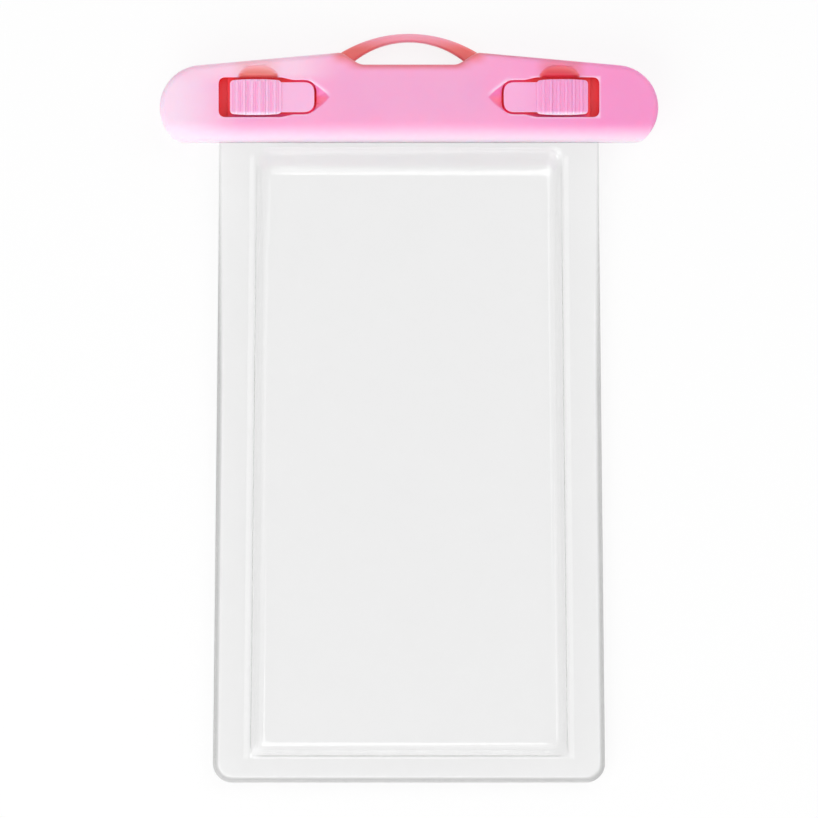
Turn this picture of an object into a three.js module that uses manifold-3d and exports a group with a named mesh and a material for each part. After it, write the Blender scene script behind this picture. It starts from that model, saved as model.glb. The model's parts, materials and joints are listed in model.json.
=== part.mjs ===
// Waterproof pouch: a clear PVC bag whose mouth is closed by a two-part moulded clamp.
// It lies on its back. X runs across the pouch, Y up its length to the carrying loop, and Z from the surface
// that it lies on to its front. The origin is on that surface, under the middle of the outline. Millimetres.
import * as THREE from "three";
import Module from "manifold-3d";
import { mergeVertices } from "three/addons/utils/BufferGeometryUtils.js";

const wasm = await Module();
wasm.setup();

// Bag
const BAG_LENGTH = 158.8; // from the clamp's lower edge to the bag's bottom edge
const BAG_TOP_HALF = 47.0; // half width where the bag leaves the clamp
const BAG_BOTTOM_HALF = 48.7; // half width at the bottom
const BAG_CORNER = 4.8; // radius of the bottom corners
const SHEET = 0.35; // thickness of each PVC sheet
const WELD_GAP = 0.1; // between the sheets inside the welded border
const WELD_SIDE = 9.0; // width of the welded border at the sides
const WELD_BOTTOM = 6.3; // and at the bottom
const WELD_HEIGHT = 2.8; // middle of the welded border over the surface
const WELD_LIFT = 34; // length over which the border rises to the clamp
const CROWN = 9.8; // height of the front sheet over the pocket
const DOME = 0.04; // share of the height that the pocket loses towards its sides
const SHOULDER = 4.0; // width over which the sheets part beside the weld
const THROAT = 8; // length over which the pocket closes below the clamp
const MOUTH_LEVEL = 0.6; // the sheets stay level for this length below the clamp
const BEAD_WIDTH = 1.5; // raised rim along the cut edge
const BEAD_RISE = 0.3;
const BEAD_FADE = 40; // length over which the rim dies out below the clamp

// Clamp bars
const REAR_DEPTH = 5.0;
const FRONT_DEPTH = 6.6;
const BAR_GAP = 0.3; // between the closed bars, outside the bag
const END_CENTRE = 51.1; // centre of a round end, from the middle
const END_RADIUS = 10.5;
const END_TURN = 53; // degrees from the round end's middle down to the lower edge
const END_CORNER = 1.8; // rounding where a round end meets the lower edge
const TOP_SLOPE = 5.1; // degrees, upper edge
const EDGE_ROUND = 1.4; // rounding of the outer edges
const LAND = 5.1; // height of the strip that grips the bag
const BAG_TUCK_GAP = 0.3; // from the bag's mouth to the top of that strip
const BAG_SIDE_GAP = 0.4; // from the bag's sides to the ends of that strip
const SKIRT = 3.2; // height of the front bar's sloping lower edge
const SKIRT_DROP = 2.4;
const SKIRT_ROUND = 2.2; // rounding where the slope meets the face
const FACE = 1.6; // wall of the front bar's face
const BACK = 1.5; // wall of the rear bar's back
const RIB = 1.6; // ribs between the hollows of both bars
const REAR_HOLLOWS = 4;
const FRONT_HOLLOWS = 2;

// Carrying loop
const LOOP_FLOOR = 19.0; // height of the opening's floor over the clamp's lower edge
const LOOP_TIP = 20.2; // height of the opening's pointed ends
const LOOP_TIP_RUN = 2.4; // length over which the floor turns up to them
const LOOP_INSIDE = 25.0; // height of the opening's crown
const LOOP_CROWN = 27.0; // height of the loop's crown
const LOOP_ROOT_HALF = 17.5; // half width between the loop's feet
const LOOP_FOOT = 3.9; // from the loop's outer side to the opening's pointed end
const LOOP_DEPTH = 4.4;
const LOOP_ROUND = 0.7;

// Seal cord
const SEAL_WIDTH = 2.0;
const SEAL_HEIGHT = 1.5;
const SEAL_ROUND = 0.7; // rounding of the cord's ends
const SEAL_SINK = 0.2; // top of the cord under the rear bar's face
const SEAL_CLEARANCE = 0.2;
const SEAL_OVERRUN = 5.5; // past each side of the bag
const SEAL_LINE = 2.8; // middle of the cord over the clamp's lower edge

// Windows of the latches
const WINDOW_END = 47.0; // outer end of each window, from the middle
const WINDOW_HALF = 4.9; // half height beside the ribbed pad
const WINDOW_CORNER = 1.7;
const NECK_CORNER = 3.2;
const STEP_RUN = 2.9; // length over which the window narrows to its neck
const STEP_CORNER = 0.5;
const LIP = 0.9; // the face overhangs the chamber behind it by this
const SCOOP_START = 2.05; // pointed hollow's widest place, from the tip of the window's neck
const SCOOP_LENGTH = 5.6; // from there to its point
const SCOOP_DEPTH = 2.4;
const SCOOP_BLUNT = 1.2; // 1 makes its outline a sharp diamond, 2 an ellipse
const THUMB_HALF = 5.1; // hollow above the ribbed pad
const THUMB_REACH = 3.1;
const THUMB_DEPTH = 1.2;
const THUMB_FROM_END = 9.8; // its middle, from the window's outer end

// Sliding latches
const TRAVEL = 2.5;
const PLAY = 0.3; // running clearance
const PAD_LENGTH = 12.7;
const PAD_HALF = 4.1; // half height at the pad's ends
const PAD_BULGE = 0.3; // more at its middle
const PAD_CORNER = 1.0;
const PAD_PROUD = 0.1; // pad's ends over the bar's face
const PAD_CROWN = 0.6; // more at the pad's middle
const PAD_SHOULDER = 0.8; // rounding along the pad's long edges
const PAD_RIBS = 6;
const PAD_RIB_RISE = 0.5;
const PAD_RIB_MARGIN = 0.7; // from the pad's ends to the first and last rib
const PAD_RIB_SHARE = 0.5; // share of the pitch that a rib takes
const TONGUE_LENGTH = 8.1;
const TONGUE_HALF = 3.7;
const TONGUE_CORNER = 2.6;
const TONGUE_SINK = 0.3; // tongue under the bar's face
const TONGUE_CLEARANCE = 0.55;
const FLANGE = 1.4;
const FLANGE_CORNER = 1.2;
const LEG_FROM_END = 11.2; // from the pad's outer end to the leg's inner side
const LEG_LENGTH = 4.0;
const LEG_HALF = 1.8;
const HOOK_REACH = 2.6;
const HOOK = 1.4; // thickness of the hook

// Keeper plates behind the latches
const KEEPER = 1.4;
const KEEPER_LEDGE = 3.6; // length of the ledge at each end
const PEG_RADIUS = 1.0;
const PEG_HEAD_RADIUS = 1.6;
const PEG_HEAD = 0.6;
const PEG_CLEARANCE = 0.15;

// Worked out from the sizes above
const DEGREE = Math.PI / 180;
const BEYOND = 1; // a cut passes the surface that it opens by this
const ARC_STEPS = 12; // along a large arc
const CORNER_STEPS = 6; // along a small one
const PEG_SIDES = 16;
const SCOOP_SIDES = 24;
const RIM_STEPS = 3; // across the bag's raised rim
const SHOULDER_STEPS = 4;
const THROAT_STEPS = 6;
const LENGTH_STEPS = 3; // along each plain stretch of the bag
const SEAM = 2 * SHEET + WELD_GAP;
const SEAM_MIDDLE = REAR_DEPTH + SEAM / 2;
const FRONT_SEAT = REAR_DEPTH + BAR_GAP; // back of the front bar
const FRONT_TOP = REAR_DEPTH + SEAM + FRONT_DEPTH;
const FACE_BACK = FRONT_TOP - FACE;
const FLANGE_TOP = FACE_BACK - PLAY;
const FLANGE_BACK = FLANGE_TOP - FLANGE;
const KEEPER_TOP = FLANGE_BACK - PLAY;
const KEEPER_BACK = KEEPER_TOP - KEEPER;
const HOOK_BACK = BACK + PLAY;
const HOOK_TOP = HOOK_BACK + HOOK;

const CLAMP_Y = (BAG_LENGTH - LOOP_CROWN) / 2; // the clamp's lower edge
const BAG_TUCK = LAND - BAG_TUCK_GAP;
const LOOP_TIP_HALF = LOOP_ROOT_HALF - LOOP_FOOT;
const END_HEIGHT = END_RADIUS * Math.sin(END_TURN * DEGREE);
const END_FOOT = END_CENTRE + END_RADIUS * Math.cos(END_TURN * DEGREE);
const END_TOP = (90 - TOP_SLOPE) * DEGREE;
const END_TOP_X = END_CENTRE + END_RADIUS * Math.cos(END_TOP);
const LOOP_ROOT =
  END_HEIGHT + END_RADIUS * Math.sin(END_TOP) + (END_TOP_X - LOOP_ROOT_HALF) * Math.tan(TOP_SLOPE * DEGREE);

const CHAMBER_HALF = WINDOW_HALF + LIP;
const LATCH_Y = LAND + CHAMBER_HALF;
const PAD_END = WINDOW_END - TRAVEL - PLAY;
const PAD_START = PAD_END - PAD_LENGTH;
const TONGUE_TIP = PAD_START - TONGUE_LENGTH;
const NECK_HALF = TONGUE_HALF + TONGUE_CLEARANCE;
const NECK_TIP = TONGUE_TIP - TONGUE_CLEARANCE;
const CHAMBER_END = WINDOW_END + LIP;
const RECESS_START = NECK_TIP - KEEPER_LEDGE;
const RECESS_END = CHAMBER_END + KEEPER_LEDGE;
const LEG_START = PAD_END - LEG_FROM_END;
const LEG_END = LEG_START + LEG_LENGTH;
const HOOK_END = LEG_END + HOOK_REACH;

const CLEAR = new THREE.MeshStandardMaterial({ color: 0xeef0f0, roughness: 0.12, metalness: 0 });
const PINK = new THREE.MeshStandardMaterial({ color: 0xf9abd5, roughness: 0.4, metalness: 0 });
const PALE_PINK = new THREE.MeshStandardMaterial({ color: 0xf9b8de, roughness: 0.4, metalness: 0 });
const SILICONE = new THREE.MeshStandardMaterial({ color: 0xe9e6e4, roughness: 0.6, metalness: 0 });

// Solids for the cuts and joins

function solidOf(geometry) {
  const bare = geometry.clone();
  bare.deleteAttribute("normal");
  bare.deleteAttribute("uv");
  const merged = mergeVertices(bare, 1e-4);
  return new wasm.Manifold(
    new wasm.Mesh({
      numProp: 3,
      vertProperties: new Float32Array(merged.attributes.position.array),
      triVerts: new Uint32Array(merged.index.array),
    }),
  );
}

function geometryOf(solid) {
  const mesh = solid.getMesh();
  const geometry = new THREE.BufferGeometry();
  geometry.setAttribute("position", new THREE.BufferAttribute(mesh.vertProperties, 3));
  geometry.setIndex(new THREE.BufferAttribute(mesh.triVerts, 1));
  geometry.computeVertexNormals();
  return geometry;
}

function part(name, geometry, material) {
  const mesh = new THREE.Mesh(geometry, material);
  mesh.name = name;
  return mesh;
}

// Box between two opposite corners, given in either order.
function block(xs, ys, zs) {
  const sides = [xs, ys, zs].map(([from, to]) => Math.abs(to - from));
  const box = new THREE.BoxGeometry(...sides);
  box.translate((xs[0] + xs[1]) / 2, (ys[0] + ys[1]) / 2, (zs[0] + zs[1]) / 2);
  return solidOf(box);
}

// Closed outline through corners, each [x, y, radius of its rounding].
function outline(corners) {
  const shape = new THREE.Shape();
  corners.forEach(([x, y, radius = 0], index) => {
    const corner = new THREE.Vector2(x, y);
    const ends = [corners.at(index - 1), corners[(index + 1) % corners.length]].map(([nextX, nextY]) =>
      new THREE.Vector2(nextX, nextY).sub(corner).setLength(radius).add(corner),
    );
    if (index === 0) shape.moveTo(ends[0].x, ends[0].y);
    else shape.lineTo(ends[0].x, ends[0].y);
    if (radius > 0) shape.quadraticCurveTo(x, y, ends[1].x, ends[1].y);
  });
  shape.closePath();
  return shape;
}

// An outline that is the same above and below a middle line: corners are given along its upper side.
function symmetric(corners, middle = 0) {
  const upper = corners.map(([x, y, radius]) => [x, middle + y, radius]);
  const lower = corners.map(([x, y, radius]) => [x, middle - y, radius]).reverse();
  return outline([...upper, ...lower]);
}

// An outline in X and Y raised between two heights, with both its edges rounded.
function raised(shape, [bottom, top], round = 0, curveSegments = CORNER_STEPS) {
  const geometry = new THREE.ExtrudeGeometry(shape, {
    depth: top - bottom - 2 * round,
    bevelEnabled: round > 0,
    bevelThickness: round,
    bevelSize: round,
    bevelOffset: -round,
    bevelSegments: 5,
    curveSegments,
  });
  geometry.translate(0, 0, bottom + round);
  return solidOf(geometry);
}

// A profile in Y and Z carried along X between two places.
function alongX(shape, [start, end]) {
  const options = { depth: end - start, bevelEnabled: false, curveSegments: CORNER_STEPS };
  const geometry = new THREE.ExtrudeGeometry(shape, options);
  geometry.translate(0, 0, start);
  const turn = new THREE.Matrix4().makeBasis(
    new THREE.Vector3(0, 1, 0),
    new THREE.Vector3(0, 0, 1),
    new THREE.Vector3(1, 0, 0),
  );
  geometry.applyMatrix4(turn);
  return solidOf(geometry);
}

// A profile in X and Z carried along Y, as far on both sides of the X axis.
function acrossY(shape, half) {
  const geometry = new THREE.ExtrudeGeometry(shape, { depth: 2 * half, bevelEnabled: false });
  geometry.translate(0, 0, -half);
  geometry.rotateX(Math.PI / 2);
  return solidOf(geometry);
}

// Upright cylinder over a place.
function post(radius, [x, y], [bottom, top]) {
  const cylinder = new THREE.CylinderGeometry(radius, radius, top - bottom, PEG_SIDES);
  cylinder.rotateX(Math.PI / 2);
  cylinder.translate(x, y, (bottom + top) / 2);
  return solidOf(cylinder);
}

// Bars, with Y from the clamp's lower edge

function barOutline() {
  const floorHalf = LOOP_TIP_HALF - LOOP_TIP_RUN;
  const pull = (LOOP_ROOT_HALF - floorHalf) / 3;
  const turn = END_TURN * DEGREE - END_CORNER / END_RADIUS;
  const cornerEnd = [END_CENTRE + END_RADIUS * Math.cos(turn), END_HEIGHT - END_RADIUS * Math.sin(turn)];
  const shape = new THREE.Shape();
  shape.moveTo(-floorHalf, LOOP_FLOOR);
  shape.bezierCurveTo(
    -floorHalf - pull, LOOP_FLOOR, -LOOP_ROOT_HALF + pull, LOOP_ROOT, -LOOP_ROOT_HALF, LOOP_ROOT,
  );
  shape.absarc(-END_CENTRE, END_HEIGHT, END_RADIUS, Math.PI - END_TOP, Math.PI + turn, false);
  shape.quadraticCurveTo(-END_FOOT, 0, END_CORNER - END_FOOT, 0);
  shape.lineTo(END_FOOT - END_CORNER, 0);
  shape.quadraticCurveTo(END_FOOT, 0, ...cornerEnd);
  shape.absarc(END_CENTRE, END_HEIGHT, END_RADIUS, -turn, END_TOP, false);
  shape.lineTo(LOOP_ROOT_HALF, LOOP_ROOT);
  shape.bezierCurveTo(LOOP_ROOT_HALF - pull, LOOP_ROOT, floorHalf + pull, LOOP_FLOOR, floorHalf, LOOP_FLOOR);
  return shape;
}

// Arc over the middle of the clamp, from one foot to the other, anticlockwise.
function arch(shape, half, foot, crown) {
  const rise = crown - foot;
  const radius = (half ** 2 + rise ** 2) / (2 * rise);
  const reach = Math.asin(half / radius);
  shape.absarc(0, crown - radius, radius, Math.PI / 2 - reach, Math.PI / 2 + reach, false);
}

function loopSolid() {
  const outside = new THREE.Shape();
  const root = LOOP_FLOOR - (LOOP_CROWN - LOOP_INSIDE);
  outside.moveTo(-LOOP_ROOT_HALF, root);
  outside.lineTo(LOOP_ROOT_HALF, root);
  arch(outside, LOOP_ROOT_HALF, LOOP_ROOT, LOOP_CROWN);

  const inside = new THREE.Path();
  const floorHalf = LOOP_TIP_HALF - LOOP_TIP_RUN;
  inside.moveTo(-floorHalf, LOOP_FLOOR);
  inside.lineTo(floorHalf, LOOP_FLOOR);
  inside.quadraticCurveTo(LOOP_TIP_HALF, LOOP_FLOOR, LOOP_TIP_HALF, LOOP_TIP);
  arch(inside, LOOP_TIP_HALF, LOOP_TIP, LOOP_INSIDE);
  inside.quadraticCurveTo(-LOOP_TIP_HALF, LOOP_FLOOR, -floorHalf, LOOP_FLOOR);
  outside.holes.push(inside);
  return raised(outside, [0, LOOP_DEPTH], LOOP_ROUND, ARC_STEPS);
}

// Hollows that keep the walls even, open towards the other bar, with ribs between them.
function hollows(start, end, count, zs) {
  const pitch = (end - start + RIB) / count;
  return Array.from({ length: count }, (_, index) => {
    const from = start + index * pitch;
    return block([from, from + pitch - RIB], [LAND + RIB, LATCH_Y + CHAMBER_HALF], zs);
  });
}

// Pocket in the rear bar that takes a hook, with the ledge that the hook slides under.
function hookPocket(side) {
  const start = side * (LEG_START - PLAY);
  const ys = [LATCH_Y - LEG_HALF - PLAY, LATCH_Y + LEG_HALF + PLAY];
  const mouth = block([start, side * (HOOK_END + PLAY)], ys, [BACK, REAR_DEPTH + BEYOND]);
  const undercut = block([start, side * (HOOK_END + TRAVEL + PLAY)], ys, [BACK, HOOK_TOP + PLAY]);
  return mouth.add(undercut);
}

function sealRun(width, zs, overrun) {
  const half = BAG_TOP_HALF + overrun;
  return raised(symmetric([[half, width / 2, SEAL_ROUND], [-half, width / 2, SEAL_ROUND]], SEAL_LINE), zs);
}

function rearBar() {
  let bar = raised(barOutline(), [0, REAR_DEPTH + EDGE_ROUND], EDGE_ROUND, ARC_STEPS);
  const over = END_CENTRE + END_RADIUS + BEYOND;
  bar = bar.subtract(
    block([-over, over], [-BEYOND, LOOP_CROWN + BEYOND], [REAR_DEPTH, REAR_DEPTH + EDGE_ROUND + BEYOND]),
  );
  bar = bar.add(loopSolid());
  const floor = REAR_DEPTH - SEAL_SINK - SEAL_HEIGHT - SEAL_CLEARANCE;
  const groove = [floor, REAR_DEPTH + BEYOND];
  bar = bar.subtract(sealRun(SEAL_WIDTH + 2 * SEAL_CLEARANCE, groove, SEAL_OVERRUN + SEAL_CLEARANCE));
  const inner = LEG_START - PLAY - RIB;
  for (const hollow of hollows(-inner, inner, REAR_HOLLOWS, [BACK, REAR_DEPTH + BEYOND])) {
    bar = bar.subtract(hollow);
  }
  for (const side of [-1, 1]) bar = bar.subtract(hookPocket(side));
  return bar;
}

function windowOutline(side) {
  const corners = [
    [side * WINDOW_END, WINDOW_HALF, WINDOW_CORNER],
    [side * PAD_START, WINDOW_HALF, STEP_CORNER],
    [side * (PAD_START - STEP_RUN), NECK_HALF, STEP_CORNER],
    [side * NECK_TIP, NECK_HALF, NECK_CORNER],
  ];
  return symmetric(corners, LATCH_Y);
}

// Pointed hollow in the face beyond the window's neck: a double cone with a blunt diamond for its outline.
function scoopSolid(side) {
  const scoop = new THREE.SphereGeometry(1, SCOOP_SIDES, 2);
  scoop.rotateX(Math.PI / 2);
  const places = scoop.attributes.position;
  for (let index = 0; index < places.count; index += 1) {
    const [x, y] = [places.getX(index), places.getY(index)];
    const reach = (Math.abs(x) ** SCOOP_BLUNT + Math.abs(y) ** SCOOP_BLUNT) ** (1 / SCOOP_BLUNT);
    if (reach > 0.5) places.setXY(index, x / reach, y / reach);
  }
  scoop.scale(SCOOP_LENGTH, NECK_HALF, SCOOP_DEPTH);
  scoop.translate(side * (NECK_TIP + SCOOP_START), LATCH_Y, FRONT_TOP);
  return solidOf(scoop);
}

// Everything that a latch needs cut out of the front bar.
function latchCuts(side) {
  const ys = [LATCH_Y - CHAMBER_HALF, LATCH_Y + CHAMBER_HALF];
  const window = raised(windowOutline(side), [FACE_BACK - BEYOND, FRONT_TOP + BEYOND]);
  const chamber = block([side * NECK_TIP, side * CHAMBER_END], ys, [FRONT_SEAT - BEYOND, FACE_BACK]);
  const recess = block([side * RECESS_START, side * RECESS_END], ys, [FRONT_SEAT - BEYOND, KEEPER_TOP]);
  const thumb = new THREE.SphereGeometry(1, 20, 12);
  thumb.scale(THUMB_HALF, THUMB_REACH, THUMB_DEPTH);
  thumb.translate(side * (WINDOW_END - THUMB_FROM_END), LATCH_Y + WINDOW_HALF, FRONT_TOP);
  return window.add(chamber).add(recess).add(scoopSolid(side)).add(solidOf(thumb));
}

// Pegs that carry a keeper plate, with heads formed behind it.
function pegPlaces(side) {
  return [RECESS_START, CHAMBER_END].map((start) => side * (start + KEEPER_LEDGE / 2));
}

function peg(x) {
  const place = [x, LATCH_Y];
  const headBack = KEEPER_BACK - PEG_HEAD;
  const stem = post(PEG_RADIUS, place, [headBack, KEEPER_TOP]);
  return stem.add(post(PEG_HEAD_RADIUS, place, [headBack, KEEPER_BACK]));
}

// What the skirt takes off the front bar's lower edge.
function skirtCut() {
  const edge = FRONT_TOP - SKIRT_DROP;
  const profile = outline([
    [SKIRT + 2 * SKIRT_ROUND, FRONT_TOP + BEYOND],
    [SKIRT + 2 * SKIRT_ROUND, FRONT_TOP],
    [SKIRT, FRONT_TOP, SKIRT_ROUND],
    [0, edge, EDGE_ROUND],
    [0, edge - 2 * EDGE_ROUND],
    [-BEYOND, edge - 2 * EDGE_ROUND],
    [-BEYOND, FRONT_TOP + BEYOND],
  ]);
  const half = END_CENTRE + END_RADIUS + BEYOND;
  return alongX(profile, [-half, half]);
}

function frontBar() {
  let bar = raised(barOutline(), [FRONT_SEAT - EDGE_ROUND, FRONT_TOP], EDGE_ROUND, ARC_STEPS);
  const over = END_CENTRE + END_RADIUS + BEYOND;
  const below = [FRONT_SEAT - EDGE_ROUND - BEYOND, FRONT_SEAT];
  bar = bar.subtract(block([-over, over], [-BEYOND, LOOP_CROWN], below));
  bar = bar.subtract(skirtCut());
  const grip = BAG_TOP_HALF + BAG_SIDE_GAP;
  bar = bar.subtract(block([-grip, grip], [-BEYOND, LAND], [FRONT_SEAT - BEYOND, REAR_DEPTH + SEAM]));
  const inner = RECESS_START - RIB;
  for (const hollow of hollows(-inner, inner, FRONT_HOLLOWS, [FRONT_SEAT - BEYOND, FACE_BACK])) {
    bar = bar.subtract(hollow);
  }
  for (const side of [-1, 1]) {
    bar = bar.subtract(latchCuts(side));
    for (const x of pegPlaces(side)) bar = bar.add(peg(x));
  }
  return bar;
}

// Latches and keepers, with Y from the latch's middle

// Crowned back of the ribbed pad, seen from the side.
function padProfile(side) {
  const pitch = (PAD_LENGTH - 2 * PAD_RIB_MARGIN) / PAD_RIBS;
  const half = (pitch * PAD_RIB_SHARE) / 2;
  const crownAt = (x) => FRONT_TOP + PAD_PROUD + PAD_CROWN * (1 - ((2 * x) / PAD_LENGTH - 1) ** 2);
  const shape = new THREE.Shape();
  const to = (x, rise) => shape.lineTo(side * (PAD_START + x), crownAt(x) + rise);
  shape.moveTo(side * PAD_START, FLANGE_BACK);
  to(0, 0);
  for (let rib = 0; rib < PAD_RIBS; rib += 1) {
    const middle = PAD_RIB_MARGIN + (rib + 0.5) * pitch;
    to(middle - half, 0);
    to(middle - half / 2, PAD_RIB_RISE);
    to(middle + half / 2, PAD_RIB_RISE);
    to(middle + half, 0);
  }
  to(PAD_LENGTH, 0);
  shape.lineTo(side * PAD_END, FLANGE_BACK);
  return shape;
}

function padSolid(side) {
  const wide = PAD_HALF + PAD_BULGE;
  const top = FRONT_TOP + PAD_PROUD + PAD_CROWN + PAD_RIB_RISE;
  const plan = symmetric([
    [side * PAD_END, PAD_HALF, PAD_CORNER],
    [side * (PAD_START + PAD_LENGTH / 2), PAD_HALF + 2 * PAD_BULGE, PAD_LENGTH / 2 - PAD_CORNER],
    [side * PAD_START, PAD_HALF, PAD_CORNER],
  ]);
  const section = outline([
    [-wide, FLANGE_BACK], [wide, FLANGE_BACK], [wide, top, PAD_SHOULDER], [-wide, top, PAD_SHOULDER],
  ]);
  const reach = [-WINDOW_END, WINDOW_END];
  return raised(plan, [FLANGE_BACK, top + BEYOND])
    .intersect(acrossY(padProfile(side), wide + BEYOND))
    .intersect(alongX(section, reach));
}

function latch(side) {
  const flangeHalf = CHAMBER_HALF - PLAY;
  const flangePlan = symmetric([
    [side * (PAD_END + LIP - PLAY), flangeHalf, FLANGE_CORNER],
    [side * TONGUE_TIP, flangeHalf, FLANGE_CORNER],
  ]);
  const flange = raised(flangePlan, [FLANGE_BACK, FLANGE_TOP]);
  const tonguePlan = symmetric([
    [side * (PAD_START + PAD_CORNER), TONGUE_HALF],
    [side * TONGUE_TIP, TONGUE_HALF, TONGUE_CORNER],
  ]);
  const tongue = raised(tonguePlan, [FLANGE_BACK, FRONT_TOP - TONGUE_SINK]);
  const leg = block([side * LEG_START, side * LEG_END], [-LEG_HALF, LEG_HALF], [HOOK_BACK, FLANGE_TOP]);
  const hook = block([side * LEG_START, side * HOOK_END], [-LEG_HALF, LEG_HALF], [HOOK_BACK, HOOK_TOP]);
  return flange.add(tongue).add(padSolid(side)).add(leg).add(hook);
}

function keeper(side) {
  const plateHalf = CHAMBER_HALF - PLAY;
  const ends = [side * (RECESS_START + PLAY), side * (RECESS_END - PLAY)];
  let plate = block(ends, [-plateHalf, plateHalf], [KEEPER_BACK, KEEPER_TOP]);
  const through = [KEEPER_BACK - BEYOND, KEEPER_TOP + BEYOND];
  const slotHalf = LEG_HALF + PLAY;
  const slotEnds = [side * (LEG_START - PLAY), side * (HOOK_END + PLAY)];
  plate = plate.subtract(block(slotEnds, [-slotHalf, slotHalf], through));
  for (const x of pegPlaces(side)) plate = plate.subtract(post(PEG_RADIUS + PEG_CLEARANCE, [x, 0], through));
  return plate;
}

// Bag, with Y from its bottom edge

function spread(from, to, count) {
  return Array.from({ length: count }, (_, index) => from + ((to - from) * index) / count);
}

const smooth = (value, from, to) => THREE.MathUtils.smoothstep(value, from, to);

// Half width of the bag at a height over its bottom edge, without the rounding of the corners.
function straightHalf(height) {
  return THREE.MathUtils.lerp(BAG_BOTTOM_HALF, BAG_TOP_HALF, Math.min(height / BAG_LENGTH, 1));
}

function bagHalf(height) {
  const below = Math.max(BAG_CORNER - height, 0);
  return straightHalf(height) - BAG_CORNER + Math.sqrt(BAG_CORNER ** 2 - below ** 2);
}

// Distance in from the bag's cut edge.
function edgeDistance(x, height) {
  const outward = Math.abs(x) - straightHalf(height) + BAG_CORNER;
  const below = BAG_CORNER - height;
  if (outward > 0 && below > 0) return BAG_CORNER - Math.hypot(outward, below);
  return Math.min(BAG_CORNER - outward, height);
}

// How far the pocket is open at a place: 0 in the weld and at the clamp, 1 where it is full.
function fullness(x, height) {
  const rise = (distance) => Math.sin((Math.PI / 2) * THREE.MathUtils.clamp(distance / SHOULDER, 0, 1));
  const pocketHalf = straightHalf(height) - WELD_SIDE;
  const sides = rise(pocketHalf - Math.abs(x)) * (1 - DOME * (x / pocketHalf) ** 2);
  const throat = smooth(BAG_LENGTH - MOUTH_LEVEL - height, 0, THROAT);
  return sides * rise(height - WELD_BOTTOM) * throat;
}

function weldMiddle(height) {
  const lift = smooth(height, BAG_LENGTH - MOUTH_LEVEL - WELD_LIFT, BAG_LENGTH - MOUTH_LEVEL);
  return THREE.MathUtils.lerp(WELD_HEIGHT, SEAM_MIDDLE, lift);
}

function bead(x, height) {
  const across = THREE.MathUtils.clamp(edgeDistance(x, height) / BEAD_WIDTH, 0, 1);
  const fade = THREE.MathUtils.clamp((BAG_LENGTH - height) / BEAD_FADE, 0, 1);
  return BEAD_RISE * fade * Math.sin(Math.PI * across);
}

function frontOutside(x, height) {
  const welded = weldMiddle(height) + SEAM / 2;
  return THREE.MathUtils.lerp(welded, CROWN, fullness(x, height)) + bead(x, height);
}

function backOutside(x, height) {
  const welded = weldMiddle(height) - SEAM / 2;
  return THREE.MathUtils.lerp(welded, 0, fullness(x, height)) - bead(x, height);
}

// Places across one half of the bag, as distances in from its cut edge, and up its length.
function edgeSteps() {
  const pocket = WELD_SIDE + SHOULDER;
  const rim = spread(0, BEAD_WIDTH, RIM_STEPS);
  return [...rim, BEAD_WIDTH, ...spread(WELD_SIDE, pocket, SHOULDER_STEPS), pocket];
}

function bagHeights() {
  const corner = spread(0, Math.PI / 2, CORNER_STEPS).map((angle) => BAG_CORNER * (1 - Math.cos(angle)));
  const pocket = WELD_BOTTOM + SHOULDER;
  const mouth = BAG_LENGTH - MOUTH_LEVEL;
  return [
    ...corner, BAG_CORNER,
    ...spread(WELD_BOTTOM, pocket, SHOULDER_STEPS),
    ...spread(pocket, mouth - WELD_LIFT, LENGTH_STEPS),
    ...spread(mouth - WELD_LIFT, mouth - THROAT, LENGTH_STEPS),
    ...spread(mouth - THROAT, mouth, THROAT_STEPS),
    mouth, BAG_LENGTH, BAG_LENGTH + BAG_TUCK,
  ];
}

// Closed sheet between two heights over each place of the bag.
function sheetGeometry(low, high) {
  const rows = bagHeights();
  const steps = edgeSteps();
  const centre = steps.at(-1);
  const columns = (half) => {
    const inner = half - centre;
    const left = steps.map((step) => -half + step);
    return [...left, -inner / 2, 0, inner / 2, ...left.map((x) => -x).reverse()];
  };
  const width = columns(BAG_BOTTOM_HALF).length;
  const positions = [];
  for (const surface of [low, high]) {
    for (const height of rows) {
      for (const x of columns(bagHalf(height))) positions.push(x, height, surface(x, height));
    }
  }
  const layer = rows.length * width;
  const index = [];
  const quad = (a, b, c, d) => index.push(a, b, c, a, c, d);
  for (let row = 0; row + 1 < rows.length; row += 1) {
    for (let column = 0; column + 1 < width; column += 1) {
      const a = row * width + column;
      quad(a, a + width, a + width + 1, a + 1);
      quad(layer + a, layer + a + 1, layer + a + width + 1, layer + a + width);
    }
    const first = row * width;
    const last = first + width - 1;
    quad(first, layer + first, layer + first + width, first + width);
    quad(last, last + width, layer + last + width, layer + last);
  }
  for (let column = 0; column + 1 < width; column += 1) {
    const top = (rows.length - 1) * width + column;
    quad(column, column + 1, layer + column + 1, layer + column);
    quad(top, layer + top, layer + top + 1, top + 1);
  }
  const geometry = new THREE.BufferGeometry();
  geometry.setAttribute("position", new THREE.Float32BufferAttribute(positions, 3));
  geometry.setIndex(index);
  geometry.computeVertexNormals();
  return geometry;
}

// The pouch

const group = new THREE.Group();

const clamp = new THREE.Group();
clamp.position.y = CLAMP_Y;
group.add(clamp);
clamp.add(part("rear_bar", geometryOf(rearBar()), PINK));
clamp.add(part("front_bar", geometryOf(frontBar()), PINK));
const sealTop = REAR_DEPTH - SEAL_SINK;
const seal = sealRun(SEAL_WIDTH, [sealTop - SEAL_HEIGHT, sealTop], SEAL_OVERRUN);
clamp.add(part("seal_cord", geometryOf(seal), SILICONE));

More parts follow.
